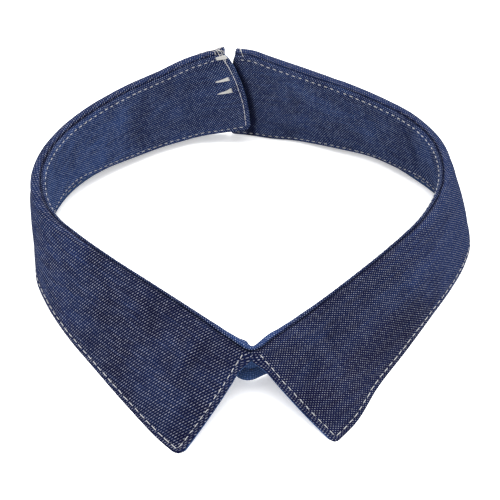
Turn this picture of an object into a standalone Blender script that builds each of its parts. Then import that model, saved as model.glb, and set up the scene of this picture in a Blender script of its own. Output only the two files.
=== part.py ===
"""Detachable shirt collar, closed at the centre back, standing by itself on its hems.

A two-ply stand (the band) runs once round the neck. Two two-ply leaves roll over the band's top
edge and fall outwards to the hem, each from the centre back to its own point at the front.
The collar is described by sections across the cloth. Each section starts at the crease, where the
leaf is sewn to the band, and has the band's foot on one side and the leaf's hem on the other.
The origin is under the middle of the collar. X is across, +Y is to the back and +Z is up.
"""
import bpy
import bmesh
import math
import numpy as np

# Cloth and sewing, in millimetres
MM = 0.001
PLY = 1.0
SEAM_GAP = 0.3
ROLL_RADIUS = 2.6

# Sections of the two halves, from the centre back to the centre front, in millimetres and degrees.
# across, depth, crease: where the crease stands in plan, and its height.
# turn: how far the cloth has turned over from upright when it reaches the crease.
# foot_out, foot_along, foot: the band's lower edge, outwards from the crease and towards the
#   centre front, and its height.
# hem_across, hem_depth, hem: where the leaf's lower edge stands in plan, and its height.
# bow: how far the leaf bulges between roll and hem. swell: the same, towards the centre front.
COLUMNS = (
    "across", "depth", "crease", "turn", "foot_out", "foot_along", "foot",
    "hem_across", "hem_depth", "hem", "bow", "swell",
)
LEFT_HALF = (
    (-8.5, 72.0, 38.0, 42, 1.0, -7.5, 7.5, -9.0, 80.5, 1.0, 0.6, 0.0),
    (-21.0, 72.5, 36.0, 42, 0.0, 0.0, 3.5, -21.5, 79.0, 0.0, 0.6, 0.0),
    (-31.0, 67.5, 33.0, 45, 0.5, 0.0, 3.0, -33.5, 73.0, 0.0, 0.6, 0.0),
    (-43.0, 59.5, 31.4, 48, 0.0, -0.5, 3.0, -48.0, 64.0, 0.0, 0.6, 0.0),
    (-54.0, 49.5, 29.9, 50, 0.0, -1.5, 4.0, -60.5, 52.5, 0.0, 0.6, 0.0),
    (-62.0, 40.0, 28.5, 55, -0.5, -1.0, 5.5, -66.6, 41.3, 0.0, 0.5, 0.0),
    (-67.0, 29.0, 27.6, 60, -1.5, -0.5, 6.5, -70.8, 29.0, 0.0, 0.7, 0.0),
    (-69.0, 17.0, 26.2, 65, -2.0, 0.0, 6.5, -72.2, 15.0, 0.0, 0.4, 0.0),
    (-67.5, 7.5, 24.4, 68, -1.5, 0.0, 6.5, -72.0, 4.0, 0.0, 0.2, 0.0),
    (-63.0, -2.0, 23.3, 72, -1.5, -0.5, 6.0, -70.0, -7.0, 0.0, 0.4, 0.0),
    (-56.0, -10.0, 22.5, 76, -1.0, -0.5, 5.5, -65.5, -18.0, 0.0, 0.8, 0.0),
    (-45.0, -20.0, 21.0, 80, -1.5, -0.5, 4.5, -58.0, -32.0, 0.0, 1.2, 0.0),
    (-31.0, -31.0, 18.7, 84, -1.5, -0.5, 3.5, -47.5, -48.0, 0.0, 1.4, 0.0),
    (-18.0, -41.0, 16.3, 90, -1.0, -0.5, 2.5, -36.6, -64.2, 0.0, 1.2, 0.0),
    (-8.0, -49.5, 14.3, 98, -1.0, -1.0, 1.5, -27.3, -77.3, 0.0, 0.8, 0.2),
    (-1.0, -54.5, 13.5, 105, -2.0, 0.0, 1.0, -21.5, -84.0, 0.0, 0.4, 0.6),
)
RIGHT_HALF = (
    (-5.5, 74.0, 37.0, 42, 5.0, -2.0, 0.5, -4.5, 84.5, 1.0, 0.6, 0.0),
    (5.0, 71.0, 36.0, 42, 5.5, -2.0, 0.5, 7.0, 81.5, 0.0, 0.6, 0.0),
    (19.0, 66.0, 33.8, 45, 6.5, -5.5, 1.0, 21.5, 78.0, 0.0, 0.6, 0.0),
    (31.0, 61.0, 32.2, 48, 5.5, -5.0, 2.0, 35.0, 72.0, 0.0, 0.6, 0.0),
    (43.0, 54.5, 30.2, 50, 5.5, -4.5, 2.5, 48.6, 64.0, 0.0, 0.6, 0.0),
    (52.5, 46.5, 29.2, 55, 3.5, -5.5, 3.5, 58.8, 53.3, 0.0, 0.5, 0.0),
    (59.0, 37.0, 27.8, 60, 2.5, -7.0, 5.0, 67.0, 40.0, 0.0, 0.5, 0.0),
    (61.5, 27.0, 27.0, 65, 2.0, -6.0, 6.0, 71.5, 25.0, 0.0, 0.5, 0.0),
    (61.5, 16.0, 26.0, 70, 0.0, -3.0, 6.0, 73.0, 14.0, 0.0, 0.6, 0.0),
    (58.5, 5.0, 25.1, 78, -0.5, -2.0, 6.0, 69.5, 2.0, 0.0, 0.8, 0.0),
    (53.0, -5.0, 23.8, 82, -0.5, -1.0, 5.5, 64.0, -9.5, 0.0, 1.0, 0.0),
    (43.0, -16.0, 21.6, 82, -1.5, -0.5, 4.5, 55.5, -24.5, 0.0, 1.2, 0.0),
    (30.0, -28.0, 18.7, 84, -1.5, -1.0, 3.5, 46.5, -40.0, 0.0, 1.4, 0.0),
    (17.0, -40.0, 16.3, 90, -1.5, -0.5, 2.5, 36.5, -56.5, 0.0, 1.2, 0.1),
    (7.0, -48.5, 14.3, 98, -1.0, -1.0, 1.5, 29.5, -70.5, 0.0, 0.8, 0.3),
    (-1.0, -54.5, 13.5, 105, -2.0, 0.0, 1.0, 23.0, -79.0, 0.0, 0.4, 0.6),
)
RING_COLUMNS = 7

# Steps of the mesh
STEPS_PER_SECTION = 2
ROLL_STEPS = 5
FALL_STEPS = 5
BAND_TURN_STEPS = 2
BAND_STEPS = 4
SHARP_ANGLE = math.radians(40)

# Cloth colours: the navy face and the paler face turned to the body
NAVY = (0.022, 0.030, 0.120, 1.0)
PALE_BLUE = (0.060, 0.120, 0.270, 1.0)
CLOTH_ROUGHNESS = 0.85


def clear_scene():
    """Remove everything that the file holds."""
    for thing in list(bpy.data.objects):
        bpy.data.objects.remove(thing)


def cloth_material(name, color):
    """A matt woven cloth in one colour."""
    material = bpy.data.materials.new(name)
    material.use_nodes = True
    shader = material.node_tree.nodes["Principled BSDF"]
    shader.inputs["Base Color"].default_value = color
    shader.inputs["Roughness"].default_value = CLOTH_ROUGHNESS
    shader.inputs["Metallic"].default_value = 0.0
    return material


def smooth_rows(rows, distance):
    """Read rows between the given ones, on cubic curves that pass through them.

    distance is how far along the crease each row stands. Each gap between rows gets
    STEPS_PER_SECTION steps, and the curve's slope at a row is that of its neighbours.
    """
    slope = np.gradient(rows, distance, axis=0)
    step = np.arange(STEPS_PER_SECTION) / STEPS_PER_SECTION
    gap = np.diff(distance)[:, None, None]
    t = step[None, :, None]
    start, end = rows[:-1, None, :], rows[1:, None, :]
    lead, trail = slope[:-1, None, :] * gap, slope[1:, None, :] * gap
    curve = (
        (2 * t**3 - 3 * t**2 + 1) * start
        + (t**3 - 2 * t**2 + t) * lead
        + (3 * t**2 - 2 * t**3) * end
        + (t**3 - t**2) * trail
    )
    return np.vstack([curve.reshape(-1, rows.shape[1]), rows[-1:]])


def ring_sections():
    """The crease and the band all the way round, from the left back end to the right back end."""
    left = np.array(LEFT_HALF)[:, :RING_COLUMNS]
    right = np.array(RIGHT_HALF)[:-1, :RING_COLUMNS][::-1].copy()
    # Measures towards the centre front run against the ring's direction on the right half.
    right[:, COLUMNS.index("foot_along")] *= -1
    rows = np.vstack([left, right])
    steps = np.hypot(*np.diff(rows[:, :2], axis=0).T)
    distance = np.concatenate([[0.0], np.cumsum(steps)])
    values = smooth_rows(rows, distance)
    ring = {name: values[:, i] for i, name in enumerate(COLUMNS[:RING_COLUMNS])}
    ring["turn"] = np.radians(ring["turn"])
    ring["place"] = values[:, :2]
    along = np.gradient(ring["place"], axis=0)
    ring["along"] = along / np.hypot(*along.T)[:, None]
    ring["out"] = np.stack([ring["along"][:, 1], -ring["along"][:, 0]], axis=1)
    return ring


def half_sections(ring, rows, is_left):
    """One half of the ring with its leaf's columns, from the centre back to the centre front."""
    table = np.array(rows)
    steps = np.hypot(*np.diff(table[:, :2], axis=0).T)
    distance = np.concatenate([[0.0], np.cumsum(steps)])
    values = smooth_rows(table[:, RING_COLUMNS:], distance)
    count = len(values)
    half = {name: (v[:count] if is_left else v[::-1][:count]).copy() for name, v in ring.items()}
    half.update({name: values[:, i] for i, name in enumerate(COLUMNS[RING_COLUMNS:])})
    half["hem"] = np.maximum(half["hem"], 0.0)
    half["hem_place"] = np.stack([half["hem_across"], half["hem_depth"]], axis=1)
    # From here on, "along" points towards the centre front on both halves.
    if not is_left:
        half["along"] *= -1
    # The two leaves stop just short of each other at the centre front.
    half["place"][-1] -= half["along"][-1] * SEAM_GAP / 2
    return half


def turn_of_tangent(out, up, radius):
    """Turn of a straight line that touches the roll and ends at a point, seen from the roll's centre."""
    reach = np.hypot(out, up)
    return np.arctan2(out, up) + np.arcsin(radius / reach)


def roll_centre(sections):
    """Centre of the roll's arc: how far out from the crease, and its height."""
    out = ROLL_RADIUS * np.cos(sections["turn"])
    up = sections["crease"] - ROLL_RADIUS * np.sin(sections["turn"])
    return out, up


def place_points(sections, out, along, height):
    """Points from measures taken outwards, along the ring and up, one row for each section."""
    plan = (
        sections["place"][:, None, :]
        + sections["out"][:, None, :] * out[..., None]
        + sections["along"][:, None, :] * along[..., None]
    )
    return np.concatenate([plan, height[..., None]], axis=2)


def roll_arc(sections, first, last, radius, steps):
    """Points on the roll's arc between two turns: how far out they are, and how high."""
    centre_out, centre_up = roll_centre(sections)
    turn = first[:, None] + (last - first)[:, None] * np.linspace(0, 1, steps + 1)
    out = centre_out[:, None] - radius * np.cos(turn)
    up = centre_up[:, None] + radius * np.sin(turn)
    return out, up


def straight_stretch(start_out, start_up, turn, end_height, steps):
    """Points on a straight line that leaves the roll and ends at a height, and their share of it."""
    share = np.linspace(0, 1, steps + 1)[None, :]
    length = ((end_height - start_up) / np.cos(turn))[:, None]
    out = start_out[:, None] + length * np.sin(turn)[:, None] * share
    up = start_up[:, None] + length * np.cos(turn)[:, None] * share
    return out, up, share


def surface_normals(points):
    """Normals of a surface of points, facing away from the body, out of the leaf's outer face."""
    normal = np.cross(np.gradient(points, axis=0), np.gradient(points, axis=1))
    normal /= np.linalg.norm(normal, axis=2)[..., None]
    return normal * np.sign(normal[..., 2:].mean())


def leaf_skin(half, inset, gap_radius):
    """Surface of a leaf, inset from its outer face, from the crease over the roll to the hem."""
    centre_out, centre_up = roll_centre(half)
    hem = half["hem"]
    reach = half["hem_place"] - half["place"]
    hem_out = (reach * half["out"]).sum(axis=1)
    hem_along = (reach * half["along"]).sum(axis=1)
    last = turn_of_tangent(hem_out - centre_out, hem - centre_up, ROLL_RADIUS)
    first = half["turn"] + SEAM_GAP / 2 / gap_radius
    last = np.maximum(last, first)
    out, up = roll_arc(half, first, last, ROLL_RADIUS - inset, ROLL_STEPS)
    roll = place_points(half, out, np.zeros_like(out), up)
    # The fall is worked out on the outer face, and then moved in along that face's normals.
    out, up = roll_arc(half, first, last, ROLL_RADIUS, 1)
    out, up, share = straight_stretch(out[:, -1], up[:, -1], last, hem, FALL_STEPS)
    bulge = np.sin(np.pi * share)
    out -= half["bow"][:, None] * bulge * np.cos(last)[:, None]
    up += half["bow"][:, None] * bulge * np.sin(last)[:, None]
    along = hem_along[:, None] * share + half["swell"][:, None] * bulge
    face = place_points(half, out, along, up)
    fall = face - inset * surface_normals(face)
    # The hem is cut level, so the last points slide down the fall to the hem's height.
    slope = face[:, -1] - face[:, -2]
    fall[:, -1] += slope * ((hem - fall[:, -1, 2]) / slope[:, 2])[:, None]
    return np.concatenate([roll, fall[:, 1:]], axis=1)


def band_skin(ring, inset, gap_radius):
    """Surface of the band, inset from its neck face, from the crease down to its foot."""
    centre_out, centre_up = roll_centre(ring)
    # The tangent runs from the foot up to the roll.
    foot_out, foot_up = ring["foot_out"] - centre_out, ring["foot"] - centre_up
    last = turn_of_tangent(-foot_out, -foot_up, -ROLL_RADIUS)
    first = ring["turn"] - SEAM_GAP / 2 / gap_radius
    roll_out, roll_up = roll_arc(ring, first, last, ROLL_RADIUS - inset, BAND_TURN_STEPS)
    out, up, share = straight_stretch(
        roll_out[:, -1], roll_up[:, -1], last, ring["foot"], BAND_STEPS
    )
    out = np.hstack([roll_out, out[:, 1:]])
    up = np.hstack([roll_up, up[:, 1:]])
    # Where the foot leads or trails the crease, the cloth leans most near the crease.
    lean = ring["foot_along"][:, None] * np.sin(share[:, 1:] * np.pi / 2)
    along = np.hstack([np.zeros_like(roll_out), lean])
    return place_points(ring, out, along, up)


def rim_of(grid):
    """The vertices round a grid's edge, in order."""
    first, last = grid[0], grid[-1]
    return first + [row[-1] for row in grid[1:]] + last[-2::-1] + [row[0] for row in grid[-2:0:-1]]


def cloth_wall(name, face, back, material):
    """A closed wall of cloth between two surfaces that have the same steps.

    Both surfaces are split along the same diagonals, so that plies laid on each other stay parallel.
    """
    mesh = bmesh.new()
    sides = [[[mesh.verts.new(point * MM) for point in row] for row in side] for side in (face, back)]
    for side in sides:
        for near, far in zip(side[:-1], side[1:]):
            for i in range(len(near) - 1):
                mesh.faces.new((near[i], near[i + 1], far[i + 1]))
                mesh.faces.new((near[i], far[i + 1], far[i]))
    face_rim, back_rim = (rim_of(side) for side in sides)
    for i in range(len(face_rim)):
        mesh.faces.new((face_rim[i - 1], face_rim[i], back_rim[i], back_rim[i - 1]))
    bmesh.ops.recalc_face_normals(mesh, faces=mesh.faces)
    data = bpy.data.meshes.new(name)
    mesh.to_mesh(data)
    mesh.free()
    data.materials.append(material)
    data.shade_smooth()
    data.set_sharp_from_angle(angle=SHARP_ANGLE)
    piece = bpy.data.objects.new(name, data)
    bpy.context.scene.collection.objects.link(piece)
    return piece


def two_plies(skin, sections, upper_name, lower_name):
    """Two plies of cloth laid on each other, the first one with its face on the outer skin."""
    for name, inset, color in ((upper_name, 0.0, NAVY), (lower_name, PLY + SEAM_GAP, PALE_BLUE)):
        gap_radius = ROLL_RADIUS - inset - PLY / 2
        face = skin(sections, inset, gap_radius)
        back = skin(sections, inset + PLY, gap_radius)
        cloth_wall(name, face, back, cloth_material(name + "_cloth", color))


def build_collar():
    """Make the band and the two leaves."""
    ring = ring_sections()
    two_plies(band_skin, ring, "band_inner", "band_outer")
    left = half_sections(ring, LEFT_HALF, True)
    two_plies(leaf_skin, left, "left_leaf_upper", "left_leaf_under")
    right = half_sections(ring, RIGHT_HALF, False)
    two_plies(leaf_skin, right, "right_leaf_upper", "right_leaf_under")


clear_scene()
build_collar()
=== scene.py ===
"""The looks of a detachable shirt collar in navy chambray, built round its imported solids.

Every ply of cloth is a thin closed shell that follows its solid within 4 mm, and mostly within 1 mm:
the crease, the roll, the fall to the hem and the band down to its foot. Sizes are in millimetres until
a mesh is made, and the frame is that of the solids: X across, +Y to the closed centre back, +Z up, with
the hems at zero.
"""
import math

import bpy
import numpy as np
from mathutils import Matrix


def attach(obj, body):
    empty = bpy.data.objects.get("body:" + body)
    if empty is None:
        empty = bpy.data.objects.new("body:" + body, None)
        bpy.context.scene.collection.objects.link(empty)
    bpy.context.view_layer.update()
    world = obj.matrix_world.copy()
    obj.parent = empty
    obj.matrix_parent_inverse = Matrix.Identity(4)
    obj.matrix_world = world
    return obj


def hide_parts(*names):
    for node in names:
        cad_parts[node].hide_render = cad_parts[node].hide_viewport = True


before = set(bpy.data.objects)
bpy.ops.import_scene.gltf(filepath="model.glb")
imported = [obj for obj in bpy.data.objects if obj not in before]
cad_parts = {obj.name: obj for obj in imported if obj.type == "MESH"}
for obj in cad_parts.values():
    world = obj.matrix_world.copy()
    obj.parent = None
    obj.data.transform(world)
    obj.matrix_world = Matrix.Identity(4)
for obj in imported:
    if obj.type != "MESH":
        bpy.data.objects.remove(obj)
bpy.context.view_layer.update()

MM = 0.001

# Cloth: a ply's thickness, the room between two plies, the roll's radius, how far along the ring its
# heading is evened out, how far in from an edge a ply gets thinner, how deep the seam at the crease
# pulls it in, how far an under ply's hem stays back, and the room between the leaves at the front.
PLY = 0.62
PLY_GAP = 0.06
ROLL_RADIUS = 2.6
HEADING_REACH = 4.5
RIM = 0.5
SEAM_PULL = 0.25
UNDER_INSET = 0.3
CENTRE_GAP = 0.12
# How far the leaves' front edges lean towards each other, how far below the roll, and for how long
FRONT_LAP = 1.8
LAP_BELOW = 2.8
LAP_LENGTH = 2.0
LEFT_TIP_ROUND = 3.0
RIGHT_TIP_ROUND = 1.8
BAND_CORNER_ROUND = 1.6
LEAF_BACK_ROUND = 1.5
# How far along the ring the centre front lies, and how far above the foot the outer ply's groove is
FRONT_ALONG = 194.0
FRONT_GROOVE = 3.6
# How much paler than their fronts the leaves' sides and backs are painted, as a painted sheen
LEFT_SIDE_SHEEN = 0.6
RIGHT_SIDE_SHEEN = 1.0
# Weaves: the pitches of the weft and the warp, half the width and length of the weft's pale oval as
# shares of a crossing, and how the oval slants
LEFT_WEAVE = dict(pitch=(0.44, 0.96), oval=(0.25, 0.40), slant=0.8)
RIGHT_WEAVE = dict(pitch=(0.56, 0.45), oval=(0.26, 0.36), slant=0.3)
BAND_WEAVE = dict(pitch=(0.43, 0.55), oval=(0.30, 0.34), slant=0.1)

# Sewing: the pitch and length of the stitches, and the radii of the threads
TOPSTITCH = 2.4
STITCH_LENGTH = 1.35
HEM_PITCH = 3.0
HEM_STITCH_LENGTH = 2.45
FRONT_PITCH = 2.35
FRONT_STITCH_LENGTH = 1.75
BACK_END_LENGTH = 2.5
THREAD_RADIUS = 0.115
BAR_RADIUS = 0.085
FRAY_RADIUS = 0.075
# How far the lines of stitches lie from a hem, an end or the crease, and the groove that they pull in
HEM_STITCH_INSET = 1.5
FRONT_STITCH_INSET = 1.7
BAND_TOP_STITCH = 2.1
BAND_FOOT_STITCH = 1.4
BACK_END_STITCH = 1.7
GROOVE_DEPTH = 0.2
GROOVE_WIDTH = 0.5
# The puckers between the stitches and the edge, and the swell over the turned allowance, which fades
# out between two distances from the edge
PUCKER = 0.07
PUCKER_REACH = 2.2
ALLOWANCE_SWELL = 0.16
ALLOWANCE = (4.2, 7.0)

# Sections of the two halves, from the centre back to the centre front, in millimetres and degrees.
# across, depth, crease: where the crease stands in plan, and its height.
# turn: how far the cloth has turned over from upright when it reaches the crease.
# foot_out, foot_along, foot: the band's lower edge, outwards from the crease and towards the
#   centre front, and its height.
# hem_across, hem_depth, hem: where the leaf's lower edge stands in plan, and its height.
# bow: how far the leaf bulges between roll and hem. swell: the same, towards the centre front.
COLUMNS = (
    "across", "depth", "crease", "turn", "foot_out", "foot_along", "foot",
    "hem_across", "hem_depth", "hem", "bow", "swell",
)
LEFT_HALF = (
    (-10.4, 72, 39.4, 42, 1, -9.3, 7.1, -9, 80.5, 1, 0.6, 0),
    (-21, 72.5, 35.3, 42, 0, 0, 3.2, -21.5, 79, 0, 0.6, 0),
    (-31, 67.5, 32.9, 45, 0.5, 0, 2.7, -33, 72.5, 0, 0.6, 0),
    (-43, 59.5, 31.4, 48, 0, -0.5, 3, -47, 63, 0, 0.8, 0),
    (-54, 49.5, 29.9, 50, 0, -1.5, 4, -59, 51.5, 0, 1.2, 0),
    (-62, 40, 28.5, 55, -0.5, -1, 5.5, -65.4, 40.7, 0, 1.6, 0),
    (-67, 29, 27.6, 60, -1.5, -0.5, 6, -69, 29, 0, 1.8, 0),
    (-69, 17, 26.2, 65, -2, 0, 5.8, -71, 15, 0, 1.3, 0),
    (-67.5, 7.5, 24.4, 68, -1.5, 0, 6, -71.4, 4, 0, 0.6, 0),
    (-63, -2, 23.3, 72, -1.5, -0.5, 6, -70, -7, 0, 0.5, 0),
    (-56, -10, 22.5, 76, -1, -0.5, 5.5, -65.8, -18.1, 0, 0.8, 0),
    (-45, -20, 21, 80, -1.5, -0.5, 4.5, -58.3, -32.3, 0, 1.2, 0),
    (-31, -31, 18.7, 84, -1.5, -0.5, 3.5, -47.8, -48.3, 0, 1.4, 0),
    (-18, -41, 16.1, 90, -1, -0.5, 2.5, -36.8, -64.4, 0, 1.2, 0),
    (-8, -49.5, 14.3, 98, -1, -1, 1.5, -27.3, -77.3, 0, 0.8, 0.2),
    (-1, -54.5, 13.5, 105, -2, 0, 1, -21.1, -84.1, 0, 0.4, 1.1),
)
RIGHT_HALF = (
    (-6.6, 74, 37.7, 42, 5, -3, 0.4, -4.7, 84.5, 1, 0.6, 0),
    (-0.5, 72.7, 37.5, 42, 5.3, -2.5, 0.3, 1, 83.2, 0.4, 0.6, 0),
    (5, 71, 36.2, 42, 5.5, -2, 0.2, 7, 81.5, 0, 0.6, 0),
    (19, 66, 33.6, 45, 6.5, -5.5, 0.7, 21.5, 77, 0, 0.6, 0),
    (31, 61, 31.8, 48, 5.5, -5, 1.7, 34.5, 71, 0, 0.6, 0),
    (43, 54.5, 29.8, 50, 5.5, -4.5, 2.1, 48, 62.5, 0, 0.8, 0),
    (52.5, 46.5, 28.7, 55, 3.5, -5.5, 2.9, 57.2, 52, 0, 1.2, 0),
    (59, 37, 27.5, 60, 2.5, -7, 4.2, 65.6, 39.5, 0, 1.2, 0),
    (61.5, 27, 27, 65, 2, -6, 5.3, 70.6, 25, 0, 1, 0),
    (61.5, 16, 26, 70, 0, -3, 5.8, 72.4, 14, 0, 0.8, 0),
    (58.5, 5, 25.3, 78, -0.5, -2, 6, 69.3, 2, 0, 0.8, 0),
    (53, -5, 24.1, 82, -0.5, -1, 5.5, 64, -9.5, 0, 1, 0),
    (43, -16, 21.9, 82, -1.5, -0.5, 4.5, 55.5, -24.5, 0, 1.2, 0),
    (30, -28, 18.7, 84, -1.5, -1, 3.5, 46.5, -40, 0, 1.4, 0),
    (17, -40, 16.1, 90, -1.5, -0.5, 2.5, 36.5, -56.5, 0, 1.2, 0.1),
    (7, -48.5, 14.3, 98, -1, -1, 1.5, 29.5, -70.5, 0, 0.8, 0.3),
    (-1, -54.5, 13.5, 105, -2, 0, 1, 23, -79, 0, 0.4, 1.2),
)
RING_COLUMNS = 7

# Soft folds pressed into the cloth: how far along the crease and across from it
# its middle lies, which way it runs (degrees from along to across), how long and wide it is, how far
# it stands out (less than zero for a trough) and how pale (1) or dark (-1) it is painted: mostly
# paler on ridges, partly rubbed and partly painted highlight, and darker in troughs, as painted shade.
LEFT_FOLDS = (
    (111, 13, -10, 32, 9, 0.25, 0.55), (131, 21, -2, 28, 8, 0.25, 0.6), (126, 7, 30, 20, 5, 0.2, 0.4),
    (151, 9, 38, 19, 6, 0.25, 0.4), (176, 13, 85, 20, 5, 0.3, 0.45), (169, 24, 38, 22, 10, 0.15, 0.22),
    (160, 8, 68, 13, 3, -0.4, -0.8), (179, 11, 88, 17, 3.5, -0.5, -0.95), (133, 3, 4, 10, 5, -0.15, -0.5),
    (147, 15, 28, 16, 6, -0.2, -0.4), (170, 6, 25, 9, 5, -0.15, -0.4), (190, 29, 67, 13, 5, -0.2, -0.5),
    (186, 6, 37, 14, 7, -0.15, -0.4), (181, 32, 28, 12, 4, -0.12, -0.3), (97, 9, 15, 30, 5, -0.15, -0.3),
    (82, 12, -6, 26, 4, 0.25, 0.4), (60, 9, 8, 30, 5, -0.3, -0.4), (45, 20, 70, 16, 5, 0.3, 0.4),
    (28, 14, 60, 18, 4, -0.35, -0.6), (16, 24, 12, 20, 5, 0.25, 0.4), (73, 26, 3, 34, 5, 0.2, 0.5),
    (55, 32, -4, 24, 4, -0.25, -0.5), (118, 26, 6, 22, 3.5, -0.25, -0.3), (160, 33, 20, 22, 3.5, 0.2, 0.3),
)
RIGHT_FOLDS = (
    (103, 18, 8, 40, 14, 0.25, 0.6), (141, 12, -3, 30, 5, 0.25, 0.5), (139, 16, -14, 14, 3.5, 0.15, 0.4),
    (135, 4, 4, 20, 4, 0.15, 0.4), (160, 5, 50, 8, 4, 0.15, 0.35), (165, 13, 20, 13, 6, 0.2, 0.35),
    (182, 2, -7, 12, 3, 0.1, 0.4), (182, 20, 69, 17, 6, 0.2, 0.3), (186, 15, 41, 15, 3.5, -0.45, -0.9),
    (149, 22, -2, 38, 8, -0.25, -0.65), (157, 10, 75, 9, 4, -0.2, -0.5), (175, 11, 70, 9, 4, -0.2, -0.4),
    (191, 15, 75, 9, 5, -0.15, -0.5), (194, 25, 88, 12, 4, -0.2, -0.5), (143, 9, 82, 9, 2.5, -0.25, -0.4),
    (170, 4, 60, 11, 3, -0.25, -0.35), (124, 10, 4, 30, 3, -0.25, -0.3), (115, 6, 2, 26, 2.5, -0.2, -0.3),
    (86, 8, -5, 26, 4, 0.2, 0.4), (70, 15, 12, 24, 4, -0.3, -0.5), (56, 24, 4, 30, 6, 0.25, 0.5),
    (40, 12, 65, 18, 4, -0.35, -0.6), (26, 22, 20, 18, 5, 0.3, 0.4), (12, 13, 75, 16, 4, -0.2, -0.4),
)
BAND_FOLDS = (
    (43, 11, 82, 24, 6, 0.25, 0.45), (53, 17, 90, 18, 7, 0.2, 0.4), (82, 6, 65, 16, 7, 0.2, 0.5),
    (32, 9, 96, 12, 4, -0.2, -0.4), (35, 19, 92, 15, 6, -0.3, -0.65), (65, 11, 77, 20, 4, -0.3, -0.65),
    (21, 6, 90, 10, 3.5, -0.12, -0.35), (13, 19, 90, 11, 5, -0.15, -0.4), (20, 25, 8, 12, 6, -0.1, -0.3),
    (8, 14, 94, 9, 4, -0.1, -0.3), (372, 13, -24, 24, 3, 0.15, 0.4), (350, 14, -25, 24, 4, 0.2, 0.45),
    (356, 9, -12, 26, 2.5, 0.12, 0.3), (338, 17, -30, 24, 5, 0.2, 0.45), (306, 8, 125, 20, 8, 0.2, 0.5),
    (370, 10, 120, 12, 4, 0.1, 0.3), (316, 12, 112, 21, 4.5, -0.35, -0.9), (335, 9, 130, 12, 4, -0.2, -0.4),
    (372, 30, 6, 28, 7, -0.15, -0.5), (353, 23, 112, 12, 5, -0.15, -0.4), (319, 21, 116, 12, 5, -0.15, -0.4),
    (294, 14, 100, 14, 4, -0.25, -0.5), (100, 12, 80, 16, 5, -0.3, -0.6), (118, 9, 10, 22, 5, 0.2, 0.4),
    (140, 11, 82, 15, 4, -0.25, -0.5), (160, 8, 5, 24, 4, 0.2, 0.4), (232, 8, -6, 22, 4, 0.2, 0.4),
    (256, 10, 90, 14, 4, -0.25, -0.5), (280, 11, 8, 20, 5, 0.2, 0.3), (82, 16, 4, 90, 44, 0.05, 1.1),
)
LEFT_TABLE = np.array(LEFT_HALF, dtype=float)
RIGHT_TABLE = np.array(RIGHT_HALF, dtype=float)

# The thread bars: how far from the back edge they start and end, how far below the crease at both
# ends, how wide at both ends, the share of their length where they begin to widen, and how much of the
# widening is done halfway from there.
THREAD_BARS = (
    (3.4, 0.0, 1.8, 1.9, 1.3, 1.5, 0.0, 0.5),
    (5.7, 2.5, 11.7, 11.1, 0.3, 1.25, 0.08, 0.55),
    (6.0, 2.6, 16.7, 16.1, 0.6, 1.65, 0.45, 0.45),
)
BAR_THREADS = 14
TUFT_THREADS = 9
# Frayed threads: marks from the back edge, below the crease (above it where less than zero) and lift
FRAYED_THREADS = (
    ((9.4, -3.2, 0.05), (7.7, -3.5, 0.15), (4.5, -2.5, 0.12), (2.4, -1.7, 0.2), (1.3, -0.6, 0.1)),
    ((3.9, -3.6, 0.1), (2.8, -3.3, 0.2), (1.7, -3.3, 0.2), (0.8, -2.9, 0.3)),
    ((4.2, -2.6, 0.1), (3.0, -1.7, 0.2), (1.9, 0.3, 0.15), (1.0, 3.4, 0.05)),
    ((2.4, -1.9, 0.1), (1.1, -0.6, 0.2), (0.7, 0.8, 0.2), (1.2, 2.4, 0.1)),
    ((3.1, -1.4, 0.1), (1.6, -0.9, 0.2), (0.3, -0.4, 0.25), (0.2, 0.6, 0.2)),
    ((8.2, -2.6, 0.05), (6.3, -2.9, 0.12), (4.6, -2.1, 0.1), (3.6, -1.2, 0.1), (3.0, 0.2, 0.1)),
    ((2.0, 0.4, 0.1), (1.0, 0.7, 0.2), (0.5, 1.6, 0.15), (1.3, 3.9, 0.1), (1.5, 5.6, 0.05)),
)
RIGHT_END_THREADS = (
    ((1.6, -3.1, 0.05), (1.9, -1.9, 0.12), (2.5, -0.4, 0.1), (3.3, 0.9, 0.05)),
    ((1.2, -3.4, 0.05), (1.4, -2.6, 0.15), (1.7, -1.6, 0.1), (2.2, -0.8, 0.1)),
)

# Steps of the meshes. The runs are distances from a free edge, close together where it is rounded.
EDGE_RUN = (0.0, 0.05, 0.14, 0.28, 0.5, 0.8, 1.1, 1.4, 1.7, 2.0, 2.4, 3.0, 3.8)
STATION_STEP = 0.75
ROLL_STEPS = 16
FALL_STEPS = 26
BAND_TURN_STEPS = 8
BAND_STEPS = 22
# Points where the ring's heading is read, rows around a crossed normal that stand in for it, steps in
# from an edge that give its direction, and the section in from a back end that threads are laid by
HEADING_POINTS = 1601
ROWS_AROUND = 6
EDGE_STEPS = 8
END_SECTION = 4

# Seeds of the uneven waves and the random draws
BAND_SEED = 3
LEFT_SEED = 11
RIGHT_SEED = 29
THREAD_SEED = 41

# The camera of the photograph: a long lens, looking down at the collar from the front
CAMERA_PITCH = math.radians(38)
CAMERA_DISTANCE = 440.0
CAMERA_TARGET = (-1.2, -8.0, 14.0)
CAMERA_LENS = 100.25


def smoothstep(low, high, value):
    """A soft step from 0 below low to 1 above high: 3x^2 - 2x^3 between them."""
    x = np.clip((value - low) / (high - low), 0, 1)
    return x * x * (3 - 2 * x)


def uneven(value, seed):
    """A smooth uneven wave between about -1 and 1: three sines whose lengths share no measure."""
    return (
        0.5 * np.sin(value + seed)
        + 0.3 * np.sin(value * 1.618 + seed * 2.3)
        + 0.2 * np.sin(value * 2.414 + seed * 4.1)
    )


def bell(distance, width):
    """exp(-(distance / width)^2): 1 in the middle, and down to 0 on both sides."""
    return np.exp(-((distance / width) ** 2))


def plan_distance(table):
    """How far along the crease each row of a table stands, in plan."""
    steps = np.hypot(*np.diff(table[:, :2], axis=0).T)
    return np.concatenate([[0.0], np.cumsum(steps)])


def ring_length():
    """Length of the crease from one back end round to the other, in plan."""
    return plan_distance(LEFT_TABLE)[-1] + plan_distance(RIGHT_TABLE)[-1]


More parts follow.
